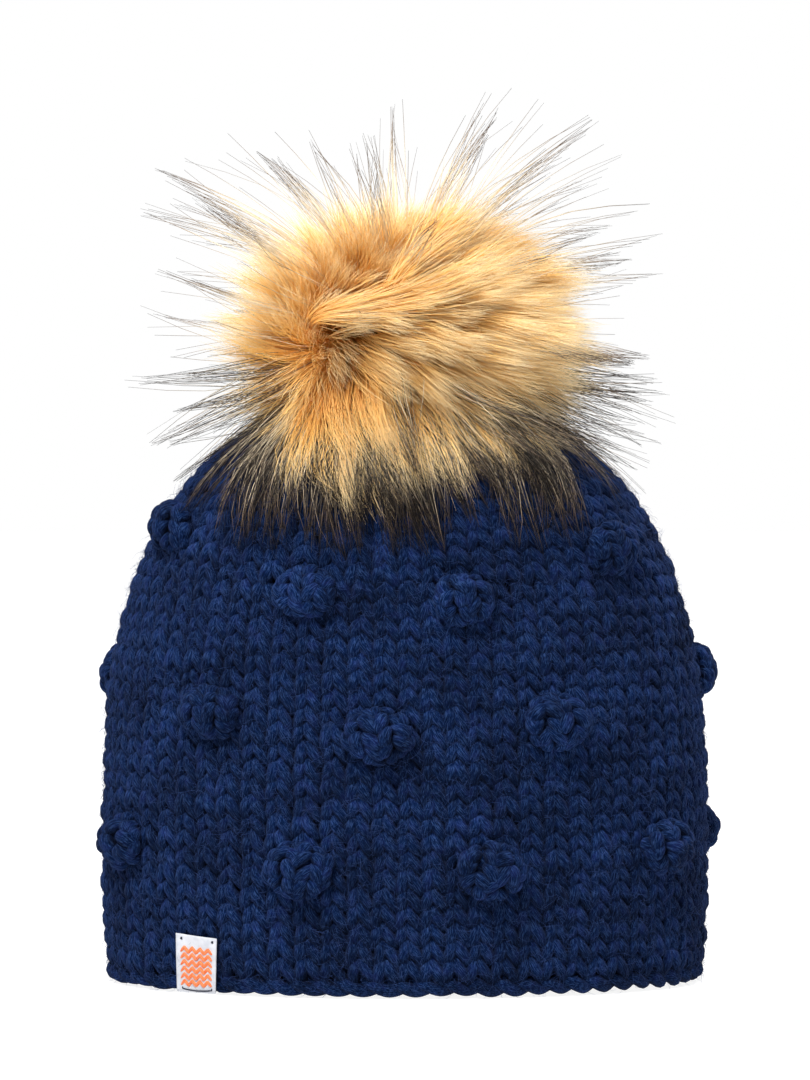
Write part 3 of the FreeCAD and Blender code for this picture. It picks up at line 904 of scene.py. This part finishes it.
# The pom's shape: hairs grow from the stuffed bag and end on a wide, low ellipsoid round it.
CORE_LOW, CORE_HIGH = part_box("pom_stuffing")
CORE_CENTRE = np.array([0, 0, (CORE_LOW[2] + CORE_HIGH[2]) / 2])
CORE_AXES = np.array([CORE_HIGH[0], CORE_HIGH[1], (CORE_HIGH[2] - CORE_LOW[2]) / 2]) + 2 * MM
POM_CENTRE = np.array([0, 0, 220 * MM])
POM_AXES = np.array([69, 66, 51]) * MM
POM_SKIRT = 8 * MM
SWIRL = unit(np.array([-0.7, -0.67, -0.27]))
HAIR_STEPS = 7
HAIRS_PER_PIECE = 4900
PILE_THICKNESS = 0.135 * MM
LOCK_THICKNESS = 0.13 * MM
GUARD_THICKNESS = 0.14 * MM

# The room round the pom that no guard hair's tip leaves.
ROOM_LOW = np.array([-101, -97, 148]) * MM
ROOM_HIGH = np.array([101, 97, 313]) * MM

# Locks combed over the front: points (across, height) in millimetres, number of hairs and spread.
COMBED_LOCKS = (
    (((-32, 225), (-28, 230.5), (-11, 234), (10, 240), (38, 254)), 520, 2.4),
    (((-9, 234), (-3, 242), (6, 252), (16, 262), (26, 271)), 300, 2.2),
)


def even_directions(count):
    """Directions spread evenly over a sphere."""
    i = np.arange(count) + 0.5
    z = 1 - 2 * i / count
    turn = math.pi * (1 + 5**0.5) * i
    r = np.sqrt(1 - z**2)
    return np.stack([r * np.cos(turn), r * np.sin(turn), z], -1)


def turned_about(v, axis, angle):
    """Vectors turned about an axis, by Rodrigues' formula."""
    c, s = np.cos(angle)[..., None], np.sin(angle)[..., None]
    return v * c + np.cross(axis, v) * s + axis * np.sum(axis * v, -1, keepdims=True) * (1 - c)


def combed(direction, strength=1.0):
    """Where a hair that grows in a direction points after combing: away from the swirl, and round it."""
    away = np.arccos(np.clip(direction @ SWIRL, -1, 1))
    axis = unit(np.cross(SWIRL, direction))
    lean = strength * np.radians(30) * np.tanh(away / 0.16) * np.exp(-0.55 * away)
    swirl = strength * np.radians(34) * np.exp(-(away / 0.7) ** 2)
    tipped = turned_about(direction, axis, lean)
    return unit(turned_about(tipped, np.broadcast_to(SWIRL, tipped.shape), -swirl))


def hung_over(points, gap):
    """Move points that lie in the hat out through its front or back, and leave the rest."""
    wide, deep = half_axes(np.clip(points[..., 2], 0, CROWN_TOP - 0.3 * MM))
    across = np.clip(np.abs(points[..., 0]) / (wide + gap), 0, 1)
    surface = (deep + gap) * np.sqrt(1 - across**2)
    side = np.where(points[..., 1] > 0, 1, -1)
    below = points[..., 2] < CROWN_TOP + gap
    near = surface - np.abs(points[..., 1]) < 1.6 * (CROWN_TOP + gap - points[..., 2]) + 12 * MM
    moved = points.copy()
    hang = below & near & (np.abs(points[..., 1]) < surface)
    moved[..., 1] = np.where(hang, side * surface, points[..., 1])
    return moved


def clear_of_hat(points, gap):
    """Move points that lie in the hat out through its side, or through its top where that is nearer."""
    height = points[..., 2]
    wide, deep = half_axes(np.clip(height, 0, CROWN_TOP - 0.3 * MM))
    ratio = np.sqrt((points[..., 0] / (wide + gap)) ** 2 + (points[..., 1] / (deep + gap)) ** 2)
    inside = (ratio < 1) & (height < CROWN_TOP + gap)
    outwards = 1 / np.maximum(ratio, 0.02)
    sideways = (outwards - 1) * np.hypot(points[..., 0], points[..., 1])
    up = inside & (CROWN_TOP + gap - height < sideways)
    side = inside & ~up
    moved = points.copy()
    moved[..., 2] = np.where(up, CROWN_TOP + gap, height)
    for axis in (0, 1):
        moved[..., axis] = np.where(side, points[..., axis] * outwards, points[..., axis])
    return moved


def hair_lines(root_direction, tip, stand, gap):
    """Curved hairs: they stand up from the bag first and then lean over to their tips."""
    root = CORE_CENTRE + root_direction * CORE_AXES * 0.97
    normal = unit(root_direction / CORE_AXES)
    tip = hung_over(tip, gap[:, 0])
    length = np.linalg.norm(tip - root, axis=-1, keepdims=True)
    middle = root + normal * length * stand
    t = np.linspace(0, 1, HAIR_STEPS)[None, :, None]
    line = root[:, None] * (1 - t) ** 2 + 2 * middle[:, None] * t * (1 - t) + tip[:, None] * t**2
    line = clear_of_hat(line, gap)
    for _ in range(3):
        line[:, 1:-1] = (line[:, :-2] + 2 * line[:, 1:-1] + line[:, 2:]) / 4
    return clear_of_hat(line, 0.5 * gap), normal


def pom_surface(direction, reach):
    """Points of the pom's outline in given directions. Its lower half hangs a little further down."""
    point = direction * POM_AXES * reach[:, None]
    point[:, 2] -= POM_SKIRT * np.maximum(0, -direction[:, 2])
    return POM_CENTRE + point


def hair_pieces(name, node, line, width, normal, shade, material):
    """Hairs as meshes, in pieces of a set number of hairs, that stand in for a part's solid."""
    for part, first in enumerate(range(0, len(line), HAIRS_PER_PIECE)):
        some = slice(first, first + HAIRS_PER_PIECE)
        outs = np.broadcast_to(normal[some, None], line[some].shape)
        piece = strands(f"{name}_{part + 1}", line[some], width[some], 3, outs, material, shade[some],
                        grid=False)
        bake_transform(piece)
        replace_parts(piece, node)


def fur(material):
    """Dense pile in locks: small bunches of hairs that lean towards the tips of bigger ones."""
    locks = 520
    bunches = 5600
    per_bunch = 12
    lock_direction = unit(even_directions(locks) + rng.normal(0, 0.05, (locks, 3)))
    lock_reach = rng.uniform(0.86, 1.04, locks)
    lock_tip = combed(unit(lock_direction + rng.normal(0, 0.08, (locks, 3))))
    lock_shade = rng.normal(0, 0.16, locks)

    direction = unit(even_directions(bunches) + rng.normal(0, 0.03, (bunches, 3)))
    direction = direction[direction[:, 2] > -0.8]
    nearest = np.argmax(direction @ lock_direction.T, axis=1)
    pull = rng.uniform(0.3, 0.7, len(direction))[:, None]
    tip_direction = unit(combed(direction) * (1 - pull) + lock_tip[nearest] * pull)
    reach = lock_reach[nearest] * rng.uniform(0.88, 1.04, len(direction))

    hairs = np.repeat(np.arange(len(direction)), per_bunch)
    count = len(hairs)
    root_direction = unit(direction[hairs] + rng.normal(0, 0.035, (count, 3)))
    tip_direction = unit(tip_direction[hairs] + rng.normal(0, 0.032, (count, 3)))
    tip = pom_surface(tip_direction, reach[hairs] * rng.uniform(0.78, 1.05, count))
    gap = rng.uniform(1.0, 7.0, count)[:, None] * MM
    near_swirl = np.exp(-(np.arccos(np.clip(root_direction @ SWIRL, -1, 1)) / 0.55) ** 2)
    stand = (rng.uniform(0.42, 0.6, count) + 0.3 * near_swirl)[:, None]
    line, normal = hair_lines(root_direction, tip, stand, gap)
    t = np.linspace(0, 1, HAIR_STEPS)
    thick = PILE_THICKNESS * rng.uniform(0.75, 1.2, count)
    width = thick[:, None] * (1 - t**2.2 * 0.86)
    tone = 0.42 + 3.4 * tip[:, 0] - 1.6 * (tip[:, 2] - POM_CENTRE[2])
    shade = tone + lock_shade[nearest][hairs] + rng.normal(0, 0.1, len(direction))[hairs]
    shade = np.clip(shade + rng.normal(0, 0.09, count), 0.02, 0.98)
    hair_pieces("fur", "pom_fur", line, width, normal, shade, material)


def comb_over(material):
    """Locks that sweep from the swirl over the front of the pom, up and to the right."""
    pieces = []
    for route, many, spread in COMBED_LOCKS:
        points = np.array(route) * MM
        place_in_lock = np.linspace(0, 1, len(points))
        curve = [np.polyfit(place_in_lock, points[:, axis], 3) for axis in (0, 1)]
        many = many
        start = rng.uniform(0, 0.6, many)
        reach = rng.uniform(0.25, 0.5, many)
        t = np.linspace(0, 1, HAIR_STEPS)
        along = np.minimum(start[:, None] + reach[:, None] * t, 1.04)
        x, z = (np.polyval(c, along) for c in curve)
        dx, dz = (np.polyval(np.polyder(c), along) for c in curve)
        run = np.hypot(dx, dz)
        aside = rng.normal(0, spread * MM, many)[:, None] * (0.4 + 1.2 * along) * (0.6 + 0.8 * t)
        aside = aside + rng.normal(0, 1.6 * MM, many)[:, None] * t**2
        x, z = x - aside * dz / run, z + aside * dx / run
        sunk = 1 - (x / POM_AXES[0]) ** 2 - ((z - POM_CENTRE[2]) / POM_AXES[2]) ** 2
        depth = POM_AXES[1] * np.sqrt(np.maximum(sunk, 0.02))
        lift = rng.uniform(-10, -1, many)[:, None] * MM - 9 * MM * (1 - t) ** 2
        line = np.stack([x, -(depth * 0.97 + lift), z], -1)
        width = LOCK_THICKNESS * rng.uniform(0.75, 1.2, many)[:, None] * (1 - 0.86 * t**2.2)
        pieces.append((line, width, np.clip(rng.normal(0.66, 0.22, many), 0.05, 0.98)))
    line, width, shade = (np.concatenate(group) for group in zip(*pieces))
    normal = np.broadcast_to([0.0, -1.0, 0.0], (len(line), 3))
    hair_pieces("fur_lock", "pom_fur", line, width, normal, shade, material)


def guard_hairs(material):
    """Long dark-tipped hairs in pointed wisps that reach well past the pile, and some stray ones. Those
    that point down are mostly dark: partly their dark tips, partly painted shade under the pom.
    """
    wisps, strays, hanging = 105, 260, 400
    spread_out = unit(even_directions(wisps + strays) + rng.normal(0, 0.12, (wisps + strays, 3)))
    turn = rng.uniform(0, 2 * math.pi, hanging)
    dip = np.radians(rng.uniform(-62, -20, hanging))
    low = round_points(np.cos(dip), turn, np.sin(dip))
    kind = np.concatenate([rng.permutation(wisps + strays) < wisps, np.full(hanging, True)])
    direction = np.concatenate([spread_out, low])
    facing = (np.abs(direction[:, 1]) > 0.62) & (direction[:, 2] > -0.48)
    at_side = (np.abs(direction[:, 0]) > 0.62) & (direction[:, 2] < -0.25)
    keep = ~(facing | at_side) | (rng.uniform(0, 1, len(direction)) < np.where(at_side, 0.4, 0.12))
    kind, direction = kind[keep], direction[keep]
    total = len(direction)
    many = np.where(kind, rng.integers(8, 26, total), 1)
    tip_direction = combed(unit(direction + rng.normal(0, 0.05, direction.shape)), 0.5)
    reach = rng.uniform(1.1, 1.4, total) + 0.55 * np.maximum(0, tip_direction[:, 2]) ** 1.5
    narrow = rng.uniform(0.004, 0.016, total)
    hairs = np.repeat(np.arange(total), many)
    hairs = hairs[direction[hairs, 2] > -0.85]
    count = len(hairs)
    root_direction = unit(direction[hairs] + rng.normal(0, 0.09, (count, 3)))
    spread = rng.normal(0, 1, (count, 3)) * narrow[hairs][:, None]
    hair_reach = reach[hairs] * (1 - 0.28 * rng.uniform(0, 1, count) ** 1.6)
    hair_reach += 0.14 * (direction[hairs, 2] < -0.3)
    tip = pom_surface(unit(tip_direction[hairs] + spread), hair_reach)
    # The ends that the room cuts short are ragged.
    lowest = ROOM_LOW + rng.uniform(0, 5 * MM, tip.shape)
    highest = ROOM_HIGH - rng.uniform(0, 6 * MM, tip.shape)
    tip = np.clip(tip, lowest, highest)
    gap = rng.uniform(3, 9, count)[:, None] * MM
    line, normal = hair_lines(root_direction, tip, rng.uniform(0.45, 0.55, count)[:, None], gap)
    t = np.linspace(0, 1, HAIR_STEPS)
    width = GUARD_THICKNESS * rng.uniform(0.7, 1.2, count)[:, None] * (1 - 0.62 * t**2)
    # Partly painted shade: hairs that point down mostly get the dark colours, which darkens the pom's
    # underside and the crown below it, as well as giving them dark tips.
    dark = direction[hairs, 2] < -0.2
    shade = np.where(dark, rng.uniform(0.0, 1.0, count) ** 3, rng.uniform(0.7, 0.99, count))
    hair_pieces("guard_hairs", "guard_hair", line, width, normal, shade, material)


# ---------------------------------------------------------------- press stud and the pom's inside

RIVET_HOLE = 1.6 * MM


def felt_disc(node, name, body, material):
    """A cut felt disc with soft edges and a hole for its rivet."""
    low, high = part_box(node)
    radius, middle, half = high[0], (low[2] + high[2]) / 2, (high[2] - low[2]) / 2
    turn = np.linspace(-math.pi / 2, math.pi / 2, 7)
    outside = [(radius - half + half * math.cos(a), middle + half * math.sin(a)) for a in turn]
    rings = np.linspace(radius - 1.5 * half, RIVET_HOLE, 9)
    outline = outside + [(r, high[2]) for r in rings] + [(r, low[2]) for r in rings[::-1]]

    def ripple(angle, r, z):
        """The hand-cut edge wanders a little."""
        return r - 0.25 * MM * (r / radius) ** 6 * (1 + np.sin(5 * angle + 1) * np.sin(11 * angle)), z

    piece = turned(name, outline, material, ripple=ripple)
    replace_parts(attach(piece, body), node)


def gathered_bag(material):
    """The fur's backing: a bag drawn shut at its neck, with pleats that fade out over its shoulders."""
    low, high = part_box("pom_backing")
    core_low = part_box("pom_stuffing")[0][2] - 2 * MM
    radius, top = high[0], high[2]
    half, middle = (top - core_low) / 2, (top + core_low) / 2
    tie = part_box("gather_thread")
    tie_height, tie_radius = (tie[0][2] + tie[1][2]) / 2, tie[1][0] - 0.8 * MM
    neck = [(1.0 * MM, low[2] + 0.3 * MM), (tie_radius * 0.72, low[2] + 0.5 * MM),
            (tie_radius * 0.95, tie_height), (tie_radius * 1.15, tie_height + 1.2 * MM),
            (6 * MM, core_low + 0.9 * MM)]
    rise = np.linspace(-1.2, 1.54, 26)
    outside = neck + [(radius * math.cos(a), middle + half * math.sin(a)) for a in rise]
    skin = 1.4 * MM
    inside = [((radius - skin) * math.cos(a), middle + (half - skin) * math.sin(a)) for a in rise[::-1]]
    outline = outside + inside + [(0.5 * MM, core_low + 1.2 * MM)]

    def ripple(angle, r, z):
        """Pleats, deepest near the tie."""
        depth = 0.1 * np.exp(-np.maximum(0, z - tie_height) / (5 * MM))
        return r * (1 - depth * (0.5 + 0.5 * np.sin(14 * angle + 0.6 * np.sin(3 * angle)))), z

    piece = turned("fur_backing_bag", outline, material, 168, ripple)
    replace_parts(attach(piece, "pom"), "pom_backing")


def filling(material):
    """The wad of fibre in the bag, lumpy all over."""
    low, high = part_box("pom_stuffing")
    radius, half, middle = high[0], (high[2] - low[2]) / 2, (high[2] + low[2]) / 2
    rise = np.linspace(-1.55, 1.55, 40)
    outline = [(radius * math.cos(a), middle + half * math.sin(a)) for a in rise]

    def ripple(angle, r, z):
        """Soft lumps, all inwards of the bag."""
        lumps = np.sin(5 * angle + 300 * z) * np.sin(420 * z + 2 * angle) * np.cos(3 * angle - 200 * z)
        return r * (0.965 + 0.03 * lumps), middle + (z - middle) * (0.965 + 0.03 * lumps)

    piece = turned("fibre_wad", outline, material, 96, ripple)
    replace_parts(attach(piece, "pom"), "pom_stuffing")


def gather_thread(material):
    """The doubled thread that ties the bag's neck."""
    low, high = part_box("gather_thread")
    steps = 320
    turn = full_turn(steps)
    thin = (high[2] - low[2]) / 4
    radius, height = high[0] - 2 * thin, (low[2] + high[2]) / 2
    yarns = []
    for ply in range(2):
        twist = 24 * turn + math.pi * ply
        line = round_points(radius + thin * np.cos(twist), turn, height + thin * np.sin(twist))
        yarns.append((line, np.full(steps, thin * 0.98), round_points(1, turn, 0), np.full(steps, 0.6)))
    piece = closed_yarns("neck_tie", *zip(*yarns), material, 0.06 * MM)
    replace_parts(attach(piece, "pom"), "gather_thread")


def press_stud(material):
    """The stud's metal parts keep their solids and get a turned, nickelled finish."""
    for node in ("snap_post_cap", "snap_stud", "snap_spring", "snap_socket", "snap_socket_cap"):
        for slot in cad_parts[node].material_slots:
            slot.material = material


# ---------------------------------------------------------------- stage


def stage():
    """The pale floor, the lights and the camera."""
    mesh = bpy.data.meshes.new("floor")
    reach = 3.0
    corners = [(-reach, -reach, 0), (reach, -reach, 0), (reach, reach, 0), (-reach, reach, 0)]
    mesh.from_pydata(corners, [], [(0, 1, 2, 3)])
    floor = bpy.data.objects.new("floor", mesh)
    bpy.context.scene.collection.objects.link(floor)
    floor.location.z = -0.0003
    pale = Nodes("pale_floor").finish((0.3, 0.3, 0.3), Roughness=0.9, Specular_IOR_Level=0.0,
                                     Emission_Color=(1, 1, 1, 1), Emission_Strength=0.9)
    mesh.materials.append(pale)

    # The backdrop is plain white to the camera and dimmer as a light: the key light models the yarn.
    world = bpy.data.worlds.new("studio")
    world.use_nodes = True
    tree = world.node_tree
    background = tree.nodes["Background"]
    background.inputs["Color"].default_value = (1, 1, 1, 1)
    seen = tree.nodes.new("ShaderNodeLightPath").outputs["Is Camera Ray"]
    strength = tree.nodes.new("ShaderNodeMapRange")
    strength.inputs["To Min"].default_value = 0.4
    strength.inputs["To Max"].default_value = 1.0
    tree.links.new(seen, strength.inputs["Value"])
    tree.links.new(strength.outputs["Result"], background.inputs["Strength"])
    bpy.context.scene.world = world
    bpy.context.scene.view_settings.view_transform = "Standard"

    middle = Vector((0, 0, 0.15))
    for name, place_at, power, size in (
        ("key_light", (-0.5, -1.05, 1.65), 46, 0.5),
        ("top_light", (0.2, -0.2, 1.8), 18, 0.6),
        ("back_light", (0.8, 1.2, 1.0), 12, 0.8),
    ):
        lamp = bpy.data.lights.new(name, "AREA")
        lamp.energy = power
        lamp.size = size
        light = bpy.data.objects.new(name, lamp)
        light.location = place_at
        light.rotation_euler = (middle - Vector(place_at)).to_track_quat("-Z", "Y").to_euler()
        bpy.context.scene.collection.objects.link(light)

    lens = bpy.data.cameras.new("camera")
    lens.lens = 291
    lens.sensor_width = 36
    camera = bpy.data.objects.new("camera", lens)
    elevation = math.radians(3)
    distance = 3.0
    target = Vector((0.0, 0, 0.1515))
    camera.location = target + distance * Vector((0, -math.cos(elevation), math.sin(elevation)))
    camera.rotation_euler = (target - camera.location).to_track_quat("-Z", "Y").to_euler()
    bpy.context.scene.collection.objects.link(camera)
    bpy.context.scene.camera = camera


stage()
wool = wool_material()
knit(wool)
cast_on_edge(wool)
cinch(wool)
bobbles(wool)

dark_thread = thread_material("dark_thread", STITCH_BLACK, linear(44, 48, 66), 0.3)
tag, tag_size = label(woven_material())
motif = label_motif(thread_material("orange_thread", MOTIF_ORANGE, MOTIF_LIGHT, 0.4))
tacks = label_stitches(dark_thread)

press_stud(steel_material())
navy_felt = felt_material("navy_felt", linear(8, 14, 34), linear(26, 38, 74))
brown_felt = felt_material("brown_felt", linear(70, 44, 26), linear(122, 84, 54))
felt_disc("snap_backing_disc", "crown_felt", "hat", navy_felt)
felt_disc("pom_base_patch", "pom_felt", "snap_socket", brown_felt)
gathered_bag(felt_material("fur_backing", linear(126, 92, 60), linear(182, 144, 102), 1400))
filling(felt_material("fibre_filling", linear(198, 196, 190), linear(240, 239, 235), 500))
gather_thread(dark_thread)

fuzz(fuzz_material())
fur(fur_material("fur_pile", WARM_PILE, PALE_PILE))
comb_over(fur_material("fur_lock", WARM_PILE, PALE_PILE))
guard_hairs(fur_material("guard_hair", DARK_GUARD, BROWN_GUARD, 0.5))

bpy.context.view_layer.update()
